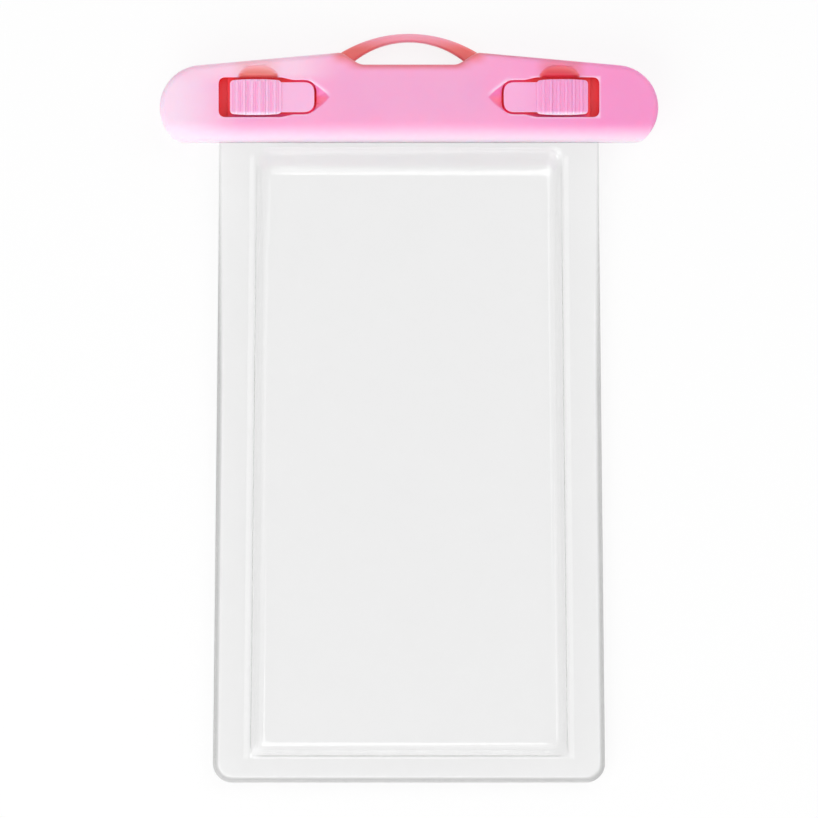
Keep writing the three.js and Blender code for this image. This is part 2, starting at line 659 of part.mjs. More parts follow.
const latchRow = new THREE.Group();
latchRow.position.y = LATCH_Y;
clamp.add(latchRow);
for (const [name, side] of [["left", -1], ["right", 1]]) {
  latchRow.add(part(`${name}_latch`, geometryOf(latch(side)), PALE_PINK));
  latchRow.add(part(`${name}_latch_keeper`, geometryOf(keeper(side)), PINK));
}

const bag = new THREE.Group();
bag.position.y = CLAMP_Y - BAG_LENGTH;
group.add(bag);
bag.add(part("front_film", sheetGeometry((x, y) => frontOutside(x, y) - SHEET, frontOutside), CLEAR));
bag.add(part("back_film", sheetGeometry(backOutside, (x, y) => backOutside(x, y) + SHEET), CLEAR));

export default group;
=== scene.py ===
# %% [markdown]
# # A clear waterproof pouch
# The real pouch is a clear PVC bag, welded along three sides, whose mouth is gripped by a moulded clamp with
# two sliding latches and a carrying loop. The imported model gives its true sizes, so this script loads it
# first and dresses it: new meshes for the clear sheets, rounded copies of the mouldings, and a finish for
# every surface.

# %% Load the frame
import json
import math

import bpy
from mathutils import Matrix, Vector

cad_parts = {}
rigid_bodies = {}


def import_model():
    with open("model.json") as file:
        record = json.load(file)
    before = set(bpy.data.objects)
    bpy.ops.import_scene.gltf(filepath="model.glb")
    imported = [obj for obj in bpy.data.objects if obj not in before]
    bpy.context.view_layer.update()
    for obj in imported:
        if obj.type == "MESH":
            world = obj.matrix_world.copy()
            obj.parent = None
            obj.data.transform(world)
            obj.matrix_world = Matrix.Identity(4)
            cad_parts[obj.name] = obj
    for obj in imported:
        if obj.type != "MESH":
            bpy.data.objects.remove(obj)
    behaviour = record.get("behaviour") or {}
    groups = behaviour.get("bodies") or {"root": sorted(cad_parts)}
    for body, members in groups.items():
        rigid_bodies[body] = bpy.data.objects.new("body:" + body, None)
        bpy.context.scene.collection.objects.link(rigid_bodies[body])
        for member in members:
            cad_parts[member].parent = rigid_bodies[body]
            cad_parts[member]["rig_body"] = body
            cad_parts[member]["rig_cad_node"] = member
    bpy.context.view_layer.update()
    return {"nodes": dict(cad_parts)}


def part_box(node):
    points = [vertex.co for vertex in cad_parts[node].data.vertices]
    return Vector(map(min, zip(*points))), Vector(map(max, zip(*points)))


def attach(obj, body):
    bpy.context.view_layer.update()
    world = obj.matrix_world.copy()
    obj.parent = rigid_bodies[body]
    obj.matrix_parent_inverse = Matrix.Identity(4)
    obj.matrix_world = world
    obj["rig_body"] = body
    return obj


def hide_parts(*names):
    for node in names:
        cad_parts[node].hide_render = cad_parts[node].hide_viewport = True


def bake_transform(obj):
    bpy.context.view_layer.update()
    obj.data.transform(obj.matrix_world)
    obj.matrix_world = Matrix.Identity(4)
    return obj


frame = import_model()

MM = 0.001
FRONT_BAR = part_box("front_bar")
REAR_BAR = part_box("rear_bar")
FRONT_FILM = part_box("front_film")

# %% [markdown]
# ## The camera
# The photograph looks straight at the pouch's front with almost no perspective, as a product shot does. The
# pouch lies on its back, so the camera looks straight down. A very long lens keeps the sides parallel, and
# the distance follows from the width that the frame has to show at the height of the clamp.

# %% Camera
SENSOR = 36 * MM
LENS = 300 * MM
VIEW_WIDTH = 202.6 * MM
VIEW_CENTRE = Vector((0.0, -0.2 * MM))
VIEW_PLANE = 7 * MM
NEAR_LIMIT = 10 * MM

distance = VIEW_WIDTH * LENS / SENSOR
place = (VIEW_CENTRE.x, VIEW_CENTRE.y, VIEW_PLANE + distance)
bpy.ops.object.camera_add(location=place, rotation=(0, 0, 0))
camera = bpy.context.object
camera.name = "camera"
camera.data.lens = LENS / MM
camera.data.sensor_width = SENSOR / MM
camera.data.clip_start = NEAR_LIMIT
bpy.context.scene.camera = camera
print("camera height", round(distance, 3), "m")


# %% [markdown]
# ## Colours and nodes
# Colours are written as they look, in sRGB hex, and one function turns them to the linear values that
# shaders use. Another small function adds a node with its settings and its inputs, so that each material
# below reads as a list of what feeds what.

# %% Helpers for materials
def linear(hex_colour):
    channels = [int(hex_colour[i : i + 2], 16) / 255 for i in (1, 3, 5)]
    return [c / 12.92 if c <= 0.04045 else ((c + 0.055) / 1.055) ** 2.4 for c in channels] + [1.0]


def add_node(tree, kind, inputs=None, **settings):
    made = tree.nodes.new(kind)
    for name, value in settings.items():
        setattr(made, name, value)
    for socket, value in (inputs or {}).items():
        if isinstance(value, bpy.types.NodeSocket):
            tree.links.new(value, made.inputs[socket])
        else:
            made.inputs[socket].default_value = value
    return made


def new_material(name):
    material = bpy.data.materials.new(name)
    material.use_nodes = True
    material.node_tree.nodes.clear()
    return material, material.node_tree


def finish_material(tree, shader):
    add_node(tree, "ShaderNodeOutputMaterial", {"Surface": shader.outputs[0]})


def wear(piece, material):
    piece.data.materials.clear()
    piece.data.materials.append(material)


# %% [markdown]
# ## The light
# Soft studio light: a pale world all round, a broad lamp low over the bag's end and to the left, which
# brightens the slope along the clamp's lower edge, and a weaker one opposite, which reaches the loop behind
# the clamp. Together they light a level surface so that a colour renders about as it is written. What the
# camera, gloss and clear plastic see of the world is plain white, because the photograph's background is.

# %% World and lamps
WORLD_LIGHT = 0.52


def sees_background(tree):
    path = add_node(tree, "ShaderNodeLightPath")
    direct = add_node(tree, "ShaderNodeMath",
                      {0: path.outputs["Is Camera Ray"], 1: path.outputs["Is Glossy Ray"]},
                      operation="MAXIMUM")
    seen = add_node(tree, "ShaderNodeMath",
                    {0: direct.outputs[0], 1: path.outputs["Is Transmission Ray"]},
                    operation="MAXIMUM")
    return seen.outputs[0]


world = bpy.data.worlds.new("pale studio")
bpy.context.scene.world = world
world.use_nodes = True
world.node_tree.nodes.clear()
strength = add_node(world.node_tree, "ShaderNodeMapRange",
                    {"Value": sees_background(world.node_tree), "To Min": WORLD_LIGHT, "To Max": 1.0})
backdrop = add_node(world.node_tree, "ShaderNodeBackground",
                    {"Color": linear("#FFFFFF"), "Strength": strength.outputs[0]})
add_node(world.node_tree, "ShaderNodeOutputWorld", {"Surface": backdrop.outputs[0]})


def lamp(name, place, size, watts):
    bpy.ops.object.light_add(type="AREA", location=place)
    made = bpy.context.object
    made.name = name
    made.data.energy = watts
    made.data.size = size
    made.rotation_euler = (-Vector(place)).to_track_quat("-Z", "Y").to_euler()
    print(name, watts, "W")
    return made


SOFT_BOX = 0.9
lamp("key lamp", (-0.32, -0.5, 0.46), SOFT_BOX, 4.6)
lamp("fill lamp", (0.4, 0.42, 0.6), SOFT_BOX, 2.3)

# %% [markdown]
# ## The floor
# The background is plain white. Most of what the camera sees of the floor is a white glow that doesn't light
# the pouch, and the rest is an ordinary white surface, which keeps a faint shadow round the pouch.

# %% Floor
FLOOR_GLOW = 0.86
FLOOR_DROP = 0.15 * MM
FLOOR_WIDTH = 6
PAPER = (0.94, 0.94, 0.94, 1)

bpy.ops.mesh.primitive_plane_add(size=FLOOR_WIDTH, location=(0, 0, -FLOOR_DROP))
floor = bpy.context.object
floor.name = "floor"
paper_white, tree = new_material("white paper")
seen = add_node(tree, "ShaderNodeMath", {0: sees_background(tree), 1: FLOOR_GLOW}, operation="MULTIPLY")
paper = add_node(tree, "ShaderNodeBsdfDiffuse", {"Color": PAPER})
glow = add_node(tree, "ShaderNodeEmission", {"Color": linear("#FFFFFF"), "Strength": 1.0})
mixed = add_node(tree, "ShaderNodeMixShader",
                 {0: seen.outputs[0], 1: paper.outputs[0], 2: glow.outputs[0]})
finish_material(tree, mixed)
wear(floor, paper_white)
bpy.context.scene.view_settings.view_transform = "Standard"

# %% [markdown]
# ## The two sheets: sizes
# The real bag is two flat PVC sheets, welded along the sides and the bottom. They keep the depth of what the
# pocket carries: each sheet leaves the weld in a short round shoulder, runs almost level over the pocket, and
# closes again below the clamp. A cloth simulation would suit a limp fabric, but these sheets are held tight
# between the welds and the clamp, so a formula gives the height at each place, from the same sizes as the
# frame, and a fine mesh built in code follows it.

# %% Sizes of the bag
BAG_BOTTOM = FRONT_FILM[0].y
MOUTH = FRONT_BAR[0].y
BAG_LENGTH = MOUTH - BAG_BOTTOM
HALF_BOTTOM = 48.7 * MM
HALF_TOP = 47.0 * MM
CORNER = 4.8 * MM
SHEET = 0.35 * MM
WELD_GAP = 0.1 * MM
WELD_SIDE = 9.0 * MM
WELD_BOTTOM = 6.3 * MM
WELD_HEIGHT = 2.8 * MM
WELD_LIFT = 34 * MM
CROWN = FRONT_FILM[1].z
DOME = 0.04
SHOULDER = 4.0 * MM
THROAT = 8 * MM
LEVEL = 0.6 * MM
SEAM_MIDDLE = REAR_BAR[1].z + SHEET + WELD_GAP / 2
print("bag length mm", round(BAG_LENGTH / MM, 1), "pocket height mm", round(CROWN / MM, 1))


# %% [markdown]
# The outline is a slightly tapered rectangle with round lower corners. These four functions give its half
# width, how far a place is from the cut edge, how far the pocket is open there, and how high the welded
# border runs, since it rises from the floor to the clamp.

# %% Shape of the bag
def ramp(value, start, end):
    share = min(max((value - start) / (end - start), 0), 1)
    return share * share * (3 - 2 * share)


def straight_half(height):
    return HALF_BOTTOM + (HALF_TOP - HALF_BOTTOM) * min(height / BAG_LENGTH, 1)


def outline_half(height):
    below = max(CORNER - height, 0)
    return straight_half(height) - CORNER + math.sqrt(CORNER**2 - below**2)


def edge_distance(x, height):
    outward, below = abs(x) - straight_half(height) + CORNER, CORNER - height
    if outward > 0 and below > 0:
        return CORNER - math.hypot(outward, below)
    return min(CORNER - outward, height)


def fullness(x, height):
    def rise(distance):
        return math.sin(math.pi / 2 * min(max(distance / SHOULDER, 0), 1))

    pocket = straight_half(height) - WELD_SIDE
    sides = rise(pocket - abs(x)) * (1 - DOME * (x / pocket) ** 2)
    return sides * rise(height - WELD_BOTTOM) * ramp(BAG_LENGTH - LEVEL - height, 0, THROAT)


def weld_middle(height):
    lift = ramp(height, BAG_LENGTH - LEVEL - WELD_LIFT, BAG_LENGTH - LEVEL)
    return WELD_HEIGHT + (SEAM_MIDDLE - WELD_HEIGHT) * lift


# %% [markdown]
# Three marks of the welding press are on the real sheets. Molten plastic leaves a raised rim along the cut
# edge, which is thinnest and palest at the clamp; the rim's grey is painted shade for the dark line that a
# clear cut edge shows. A straight line is pressed beside each side of the pocket, and it looks a little
# paler.
# The free sheet over the pocket is never quite flat: it sways by a tenth of a millimetre, which shows only in
# its reflections.

# %% Marks of the welding press
RIM_WIDTH = 1.6 * MM
RIM_RISE = 0.16 * MM
RIM_FADE = 60 * MM
RIM_AT_CLAMP = 0.45
LINE_BESIDE = 0.9 * MM
LINE_WIDTH = 1.5 * MM
LINE_RISE = 0.04 * MM
LINE_ENDS = (6.4 * MM, BAG_LENGTH - 3.8 * MM)
LINE_FADE = 1 * MM
SWAY = 0.1 * MM
SWAY_LENGTHS = (13 * MM, 17 * MM, 31 * MM)


def rim(x, height):
    growth = RIM_AT_CLAMP + (1 - RIM_AT_CLAMP) * min((BAG_LENGTH - height) / RIM_FADE, 1)
    fused = max(1 - edge_distance(x, height) / (RIM_WIDTH * growth), 0) * growth**1.5
    return fused if height < BAG_LENGTH else 0


def pressed_line(x, height):
    place = straight_half(height) - WELD_SIDE + LINE_BESIDE
    beside = abs(abs(x) - place) / (LINE_WIDTH / 2)
    bottom, top = LINE_ENDS
    ends = ramp(height, bottom - LINE_FADE, bottom) * ramp(height, top + LINE_FADE, top)
    return (1 - ramp(beside, 0.5, 1)) * ends


def relief(x, height):
    bead = math.sin(math.pi * min(max(edge_distance(x, height) / RIM_WIDTH, 0), 1))
    fade = min(max((BAG_LENGTH - height) / RIM_FADE, 0), 1)
    return RIM_RISE * fade * bead + LINE_RISE * pressed_line(x, height)


def sway(x, height):
    across, along, aslant = SWAY_LENGTHS
    waves = math.sin(x / across + 1.0) + math.sin(height / along + x / aslant)
    return SWAY / 2 * waves * fullness(x, height)


def front_outside(x, height):
    welded = weld_middle(height) + WELD_GAP / 2 + SHEET
    return welded + (CROWN - SWAY - welded) * fullness(x, height) + relief(x, height) + sway(x, height)


def back_outside(x, height):
    welded = weld_middle(height) - WELD_GAP / 2 - SHEET
    return welded * (1 - fullness(x, height)) - relief(x, height)


# %% [markdown]
# The mesh is a grid of rows and columns that is fine at the rim, the pressed lines and the shoulders, and
# coarse over the level middle. Each sheet is a closed shell: two grids, a sheet's thickness apart, joined
# round their edges. Two attributes say where the plastic is fused and where it is pressed, so the colour,
# with the rim's painted shade, can fade smoothly from one state to the other.

# %% Grid of the sheets
def spread(start, end, count):
    return [start + (end - start) * i / count for i in range(count)]


def columns(half):
    pocket = WELD_SIDE + SHOULDER
    steps = [
        *spread(0, RIM_WIDTH, 8), *spread(RIM_WIDTH, WELD_SIDE - 2 * MM, 6),
        *spread(WELD_SIDE - 2 * MM, WELD_SIDE, 10), *spread(WELD_SIDE, pocket, 10),
        *spread(pocket, half, 16),
    ]
    left = [step - half for step in steps]
    return [*left, 0, *[-x for x in reversed(left)]]


def rows():
    pocket, mouth = WELD_BOTTOM + SHOULDER, BAG_LENGTH - LEVEL
    corner = [CORNER * (1 - math.cos(angle)) for angle in spread(0, math.pi / 2, 16)]
    return [
        *corner, *spread(CORNER, WELD_BOTTOM, 3), *spread(WELD_BOTTOM, pocket, 10),
        *spread(pocket, mouth - WELD_LIFT, 48), *spread(mouth - WELD_LIFT, mouth - THROAT, 14),
        *spread(mouth - THROAT, mouth, 12), mouth, BAG_LENGTH, FRONT_FILM[1].y - BAG_BOTTOM,
    ]


# %% Build a sheet
def sheet_piece(name, low, high):
    heights = rows()
    width = len(columns(HALF_BOTTOM))
    layer = width * len(heights)
    places = [(x, height) for height in heights for x in columns(outline_half(height))]
    points = [(x, BAG_BOTTOM + height, surface(x, height)) for surface in (low, high) for x, height in places]
    faces = []
    for row in range(len(heights) - 1):
        for column in range(width - 1):
            a = row * width + column
            faces.append((a, a + width, a + width + 1, a + 1))
            faces.append((layer + a, layer + a + 1, layer + a + width + 1, layer + a + width))
        first, last = row * width, row * width + width - 1
        faces.append((first, layer + first, layer + first + width, first + width))
        faces.append((last, last + width, layer + last + width, layer + last))
    for column in range(width - 1):
        top = layer - width + column
        faces.append((column, column + 1, layer + column + 1, layer + column))
        faces.append((top, layer + top, layer + top + 1, top + 1))
    mesh = bpy.data.meshes.new(name)
    mesh.from_pydata(points, [], faces)
    for mark, amount in (("fused", rim), ("pressed", pressed_line)):
        values = [amount(x, height) for x, height in places] * 2
        mesh.attributes.new(mark, "FLOAT", "POINT").data.foreach_set("value", values)
    made = bpy.data.objects.new(name, mesh)
    bpy.context.scene.collection.objects.link(made)
    made.data.shade_smooth()
    print(name, len(faces), "faces")
    return made


front_sheet = sheet_piece("front_sheet", lambda x, y: front_outside(x, y) - SHEET, front_outside)
back_sheet = sheet_piece("back_sheet", back_outside, lambda x, y: back_outside(x, y) + SHEET)

# %% [markdown]
# ## Clear PVC
# The sheets are calendered PVC: rolled between hot polished rollers, so very smooth, with an index of
# refraction of 1.53. To the eye a sheet is almost nothing: it takes a little light away and gives long soft
# reflections with a slow ripple, which a noise 14 mm across makes here. The fused rim is less polished, and
# its grey is painted shade for the dark line that a clear cut edge shows. The pressed line is clearer than
# the sheet.

# %% Calendered PVC
CLEAR_TINT = "#FCFCFC"
# The rim's grey tint is painted shade for the dark line along the clear cut edge.
EDGE_SHADE_TINT = "#E2E2E2"
PRESSED_TINT = "#FFFFFF"
RIPPLE = 14 * MM
RIPPLE_DEPTH = 0.15 * MM

calendered_pvc, tree = new_material("calendered clear PVC")
texture = add_node(tree, "ShaderNodeTexCoord")
fused = add_node(tree, "ShaderNodeAttribute", attribute_name="fused")
pressed = add_node(tree, "ShaderNodeAttribute", attribute_name="pressed")
ripple = add_node(tree, "ShaderNodeTexNoise",
                  {"Vector": texture.outputs["Object"], "Scale": 1 / RIPPLE, "Detail": 2.0})
bump = add_node(tree, "ShaderNodeBump",
                {"Height": ripple.outputs[0], "Strength": 0.5, "Distance": RIPPLE_DEPTH})
soft_edge = add_node(tree, "ShaderNodeMapRange", {"Value": fused.outputs["Fac"], "From Max": 0.7},
                     interpolation_type="SMOOTHSTEP")
sheet_tint = add_node(tree, "ShaderNodeMix",
                      {0: pressed.outputs["Fac"], 6: linear(CLEAR_TINT), 7: linear(PRESSED_TINT)},
                      data_type="RGBA")
tint = add_node(tree, "ShaderNodeMix",
                {0: soft_edge.outputs[0], 6: sheet_tint.outputs[2], 7: linear(EDGE_SHADE_TINT)},
                data_type="RGBA")
polish = add_node(tree, "ShaderNodeMapRange",
                  {"Value": soft_edge.outputs[0], "To Min": 0.09, "To Max": 0.18})
shader = add_node(tree, "ShaderNodeBsdfPrincipled", {
    "Base Color": tint.outputs[2], "Roughness": polish.outputs[0], "IOR": 1.53,
    "Transmission Weight": 0.97, "Normal": bump.outputs[0],
})
finish_material(tree, shader)
for piece in (front_sheet, back_sheet):
    wear(piece, calendered_pvc)

# %% [markdown]
# ## The sheets and the clamp
# The front sheet is welded to the front bar and the back sheet to the rear bar. The back sheet moves with the
# rear half; the front sheet stays where it was built and doesn't follow the front bar. Each sheet was cut as
# large as its outline and the extra that its shoulders take up.

for piece, node in ((front_sheet, "front_film"), (back_sheet, "back_film")):
    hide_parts(node)
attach(back_sheet, "rear_half")
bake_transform(front_sheet)


# %% [markdown]
# ## The mouldings
# The clamp and its latches are injection moulded, and no moulded edge is perfectly sharp. The frame's solids
# already have their large roundings. A copy of each gets its loose triangles merged, and the sharp edges that
# the eye meets are selected and bevelled by a fraction of a millimetre, so that they catch the light. A
# weighted normal then keeps the wide faces evenly shaded. The copy stands in for the solid.

# %% Round the mouldings' sharp edges
MERGE = 0.002 * MM
FLAT_ANGLE = math.radians(0.3)
SHARP_ANGLE = math.radians(35)


def rounded_copy(node, name, body, width, levels):
    bpy.ops.object.select_all(action="DESELECT")
    source = frame["nodes"][node]
    made = source.copy()
    made.data = source.data.copy()
    made.name = name
    made.parent = None
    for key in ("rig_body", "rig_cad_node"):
        del made[key]
    bpy.context.scene.collection.objects.link(made)
    made.select_set(True)
    bpy.context.view_layer.objects.active = made
    bpy.ops.object.mode_set(mode="EDIT")
    bpy.ops.mesh.select_all(action="SELECT")
    bpy.ops.mesh.remove_doubles(threshold=MERGE)
    bpy.ops.mesh.dissolve_limited(angle_limit=FLAT_ANGLE)
    bpy.ops.mesh.select_all(action="DESELECT")
    bpy.ops.mesh.select_mode(type="EDGE")
    bpy.ops.mesh.edges_select_sharp(sharpness=SHARP_ANGLE)
    bpy.ops.object.mode_set(mode="OBJECT")
    mesh = made.data
    for edge in mesh.edges:
        ends = [mesh.vertices[index].co.z for index in edge.vertices]
        inside = any(all(low <= z <= high for z in ends) for low, high in levels)
        edge.select = edge.select and inside
    chosen = sum(edge.select for edge in mesh.edges)
    for vertex in mesh.vertices:
        vertex.select = False
    bpy.ops.object.mode_set(mode="EDIT")
    bpy.ops.mesh.bevel(offset=width, segments=2, affect="EDGES", clamp_overlap=False)
    bpy.ops.object.mode_set(mode="OBJECT")
    bpy.ops.object.shade_smooth_by_angle(angle=SHARP_ANGLE)
    weighted = made.modifiers.new("even shading", "WEIGHTED_NORMAL")
    weighted.keep_sharp = True
    bpy.ops.object.modifier_apply(modifier=weighted.name)
    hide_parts(node)
    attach(made, body)
    print(name, chosen, "edges rounded,", len(mesh.polygons), "faces")
    return made


FACE = FRONT_BAR[1].z
LIP = FRONT_BAR[0].z
JOINT = REAR_BAR[1].z
HAIR = 0.01 * MM

front_moulding = rounded_copy("front_bar", "front_moulding", "front_half", 0.22 * MM,
                              [(FACE - HAIR, FACE + HAIR), (LIP - HAIR, LIP + HAIR)])
rear_moulding = rounded_copy("rear_bar", "rear_moulding", "rear_half", 0.2 * MM,
                             [(JOINT - HAIR, JOINT + HAIR)])
sliders = [
    rounded_copy(f"{side}_latch", f"{side}_slider", f"{side}_slider", 0.1 * MM,
                 [(FACE - 1 * MM, FACE + 3 * MM)])
    for side in ("left", "right")
]

# %% [markdown]
# ## Pink plastic
# The clamp is injection moulded from a soft milky polypropylene. It has a satin face with a very fine grain.
# Light goes a little way into it and comes out warmer, and the subsurface part of the shader gives that
# softness. The tints below, each limited by its place in millimetres on the clamp, paint the change of colour
# and paint light and shade as well: painted shade, coral to deep red, in the loop, the hollows, the scoops,
# the slots round the latches and along the top edge; painted highlights round the windows and on the thin
# lower edge, which looks almost white, partly because it is thin; painted light on the left end and painted
# shade on the right end. Light also comes through the thin walls into the slots and hollows. A ray tracer
# could follow it, but only slowly, so a weak red glow in those places alone stands for it. Under far dimmer
# lamps it would have to come down with them.

# %% Places on the clamp
LATCH_LINE = 10.9
SCOOP_SLANT = 1.3
RIB_START = 32.2
RIB_PITCH = 1.883


def clamp_places(tree):
    texture = add_node(tree, "ShaderNodeTexCoord")
    moved = add_node(tree, "ShaderNodeMapping", {
        "Vector": texture.outputs["Object"], "Location": (0, -MOUTH / MM, -FACE / MM),
        "Scale": (1 / MM, 1 / MM, 1 / MM),
    })
    x, y, z = add_node(tree, "ShaderNodeSeparateXYZ", {0: moved.outputs[0]}).outputs
    side = add_node(tree, "ShaderNodeMath", {0: x}, operation="ABSOLUTE").outputs[0]
    above = add_node(tree, "ShaderNodeMath", {0: y, 1: LATCH_LINE}, operation="SUBTRACT").outputs[0]
    rise = add_node(tree, "ShaderNodeMath", {0: above}, operation="ABSOLUTE").outputs[0]
    run = add_node(tree, "ShaderNodeMath", {0: rise, 1: SCOOP_SLANT}, operation="MULTIPLY").outputs[0]
    slant = add_node(tree, "ShaderNodeMath", {0: side, 1: run}, operation="SUBTRACT").outputs[0]
    start = add_node(tree, "ShaderNodeMath", {0: side, 1: RIB_START}, operation="SUBTRACT").outputs[0]
    rib = add_node(tree, "ShaderNodeMath", {0: start, 1: RIB_PITCH / 2}, operation="PINGPONG").outputs[0]
    return {"x": x, "y": y, "z": z, "side": side, "rise": rise, "slant": slant, "rib": rib,
            "point": moved.outputs[0]}


# %% [markdown]
# The next cell builds the shader that all the pink pieces share. Pigment is never stirred in quite evenly, so
# a slow noise, 9 mm across, shifts the saturation by a few parts in a hundred. A satin mould leaves a grain
# of about a twentieth of a millimetre. That is too fine to show here, so it is drawn half a millimetre
# across.

# %% Moulded polypropylene
SEEPING_LIGHT = "#FF3850"
CLOUD = 9
GRAIN = 0.5
GRAIN_DEPTH = 0.02 * MM
LIGHT_REACH = 2.5 * MM
WARM_REACH = (1.0, 0.22, 0.28)


def share_within(tree, place, limits):
    share = 1.0
    for measure, start, end in limits:
        edge = add_node(tree, "ShaderNodeMapRange",
                        {"Value": place[measure], "From Min": start, "From Max": end},
                        interpolation_type="SMOOTHSTEP")
        share = add_node(tree, "ShaderNodeMath", {0: share, 1: edge.outputs[0]},
                         operation="MULTIPLY").outputs[0]
    return share


def moulded(name, colour, tints, glows=()):
    made, tree = new_material(name)
    place = clamp_places(tree)
    shade = linear(colour)
    for tint_colour, limits in tints:
        share = share_within(tree, place, limits)
        shade = add_node(tree, "ShaderNodeMix", {0: share, 6: shade, 7: linear(tint_colour)},
                         data_type="RGBA").outputs[2]
    glow = 0.0
    for strength, limits in glows:
        share = share_within(tree, place, limits)
        glow = add_node(tree, "ShaderNodeMath", {0: share, 1: strength, 2: glow},
                        operation="MULTIPLY_ADD").outputs[0]
    cloud = add_node(tree, "ShaderNodeTexNoise",
                     {"Vector": place["point"], "Scale": 1 / CLOUD, "Detail": 2.0})
    milky = add_node(tree, "ShaderNodeMapRange", {"Value": cloud.outputs[0], "To Min": 0.96, "To Max": 1.04})
    colour_now = add_node(tree, "ShaderNodeHueSaturation", {"Color": shade, "Saturation": milky.outputs[0]})
    grain = add_node(tree, "ShaderNodeTexNoise",
                     {"Vector": place["point"], "Scale": 1 / GRAIN, "Detail": 2.0})
    satin = add_node(tree, "ShaderNodeMapRange", {"Value": grain.outputs[0], "To Min": 0.32, "To Max": 0.42})
    bump = add_node(tree, "ShaderNodeBump",
                    {"Height": grain.outputs[0], "Strength": 0.25, "Distance": GRAIN_DEPTH})
    shader = add_node(tree, "ShaderNodeBsdfPrincipled", {
        "Base Color": colour_now.outputs[0], "Roughness": satin.outputs[0], "IOR": 1.49,
        "Subsurface Weight": 0.6, "Subsurface Radius": WARM_REACH, "Subsurface Scale": LIGHT_REACH,
        "Emission Color": linear(SEEPING_LIGHT), "Emission Strength": glow, "Normal": bump.outputs[0],
    })
    finish_material(tree, shader)
    print(name, len(tints), "tints,", len(glows), "glows")
    return made


# %% [markdown]
# Each tint is a colour and its limits: a measure, where the tint starts and where it is full. A glow is
# written the same way, with its strength in place of a colour. The measures are x, y from the clamp's lower
# edge, z from its face, side for the distance from the middle, rise for the distance from the line of the
# latches, slant for the distance along the slanted edges of the scoops, and rib for the distance from the
# nearest valley between a latch's ribs. Each list names its tints in the order in which they are laid on, so
# a later tint covers an earlier one where both reach.

# %% Tints of the clamp
PINK = "#FBABD4"
PAINTED_HIGHLIGHT_PINK = "#FDC6E4"
# Deep red and magenta are painted shade for the slots and the inside of the hollow bar.
PAINTED_SHADE_RED = "#FF4652"
PAINTED_SHADE_MAGENTA = "#FF5CA0"

# Painted light pales the left end, and painted shade deepens the right end.
LIT_END = ("#FDDDF0", [("x", -38, -60)])
SHADED_RIGHT_END = ("#F497CC", [("x", 4, 56)])
# The pale lower edge is partly the thin plastic and partly a painted highlight on its slope.
THIN_AND_LIT_EDGE = ("#FFE6F6", [("y", 4.6, -0.6)])
# Painted light on the upper face towards the left end. Round the thumb hollows a soft halo of painted shade,
# paler on the left and deeper on the right.
LIT_TOP = ("#FDD0E6", [("x", -14, -29), ("y", 13.6, 17.2), ("z", -2.6, -1.2)])
THUMB_LIMITS = [("y", 14.8, 15.6), ("y", 22.5, 17.5), ("side", 30.5, 35), ("side", 44.5, 40),
                ("z", -2.6, -1.2)]
LEFT_THUMB_SHADE_HALO = ("#F6BECA", [("x", -24, -30), *THUMB_LIMITS])
RIGHT_THUMB_SHADE_HALO = ("#E9809A", [("x", 24, 30), *THUMB_LIMITS])
# Painted shade in coral along the rounded top edge, at the loop's feet and in the dip under the loop, and
# painted light on the left part of the top edge.
SHADED_TOP_EDGE = ("#DE8A98", [("z", -0.1, -0.6), ("z", -2.6, -1.2), ("y", 14.5, 16.5)])
LIT_TOP_EDGE = ("#FAD0E2", [("x", -6, -26), *SHADED_TOP_EDGE[1]])
LOOP_FEET_SHADE = ("#EC7E86", [("z", -2.6, -1.2), ("y", 18.4, 21.4), ("side", 20.2, 16.2)])
DIP_EDGE_SHADE = ("#EC7E90", [("z", -2.6, -1.2), ("y", 17.0, 19.2), ("side", 17, 11)])
# Painted highlights round the windows' edges and on the scoops' upper slanted edges.
SLOT_EDGE_HIGHLIGHT = (PAINTED_HIGHLIGHT_PINK, [("rise", 5.5, 4.9), ("side", 47.6, 47.0), ("side", 29, 31)])
NECK_EDGE_HIGHLIGHT = (PAINTED_HIGHLIGHT_PINK, [("rise", 4.9, 4.2), ("side", 31.5, 30), ("side", 24, 25.5)])
SCOOP_EDGE_HIGHLIGHT = ("#FFDDF2", [("slant", 17.4, 19.2), ("side", 18.7, 20), ("side", 25.4, 23), ("y", 10.8, 13)])
# Painted shade in the thumb hollows, deeper on the right, and on the scoops' facets: coral on the lower one
# and magenta pink on the upper one.
THUMB_HOLLOW_SHADE = ("#F28C84", [("z", -0.02, -0.9), ("y", 15.2, 15.6), ("y", 20.2, 16.6), ("side", 31.2, 32.0),
                            ("side", 43.2, 42.4)])
THUMB_SHADE = ("#E64A5C", [("x", 20, 30), *THUMB_HOLLOW_SHADE[1]])
SCOOP_LOW_SHADE = ("#FA789C", [("z", -0.02, -0.5), ("side", 18.6, 19), ("side", 25.5, 25), ("y", 12.2, 10.2),
                         ("y", 6.2, 6.5)])
SCOOP_HIGH_SHADE = ("#F27DBC", [("z", -0.02, -0.3), ("side", 18.6, 19), ("side", 25.5, 25), ("y", 6.2, 6.5),
                          ("y", 15.6, 15.3)])
# Painted shade on the slot walls: deep red, magenta at the neck and beside the pads' lower edges.
SLOT_WALL_SHADE = (PAINTED_SHADE_RED, [("z", -0.15, -0.7), ("rise", 5.95, 5.85), ("side", 22.6, 22.9),
                        ("side", 48.4, 48.1)])
NECK_WALL_SHADE = (PAINTED_SHADE_MAGENTA, [("side", 31, 27), *SLOT_WALL_SHADE[1]])
LOWER_WALL_SHADE = ("#F0509A", [("y", 7.4, 6.2), ("side", 46.4, 44.4), *SLOT_WALL_SHADE[1]])
# The loop is painted coral as painted shade, deepest at its roots and paler at its crown.
LOOP_ROOT_SHADE = ("#F4827C", [("y", 18.6, 20.4), ("side", 19.4, 17.4)])
LOOP_TOP = ("#FFACC0", [("y", 22.6, 26.6)])

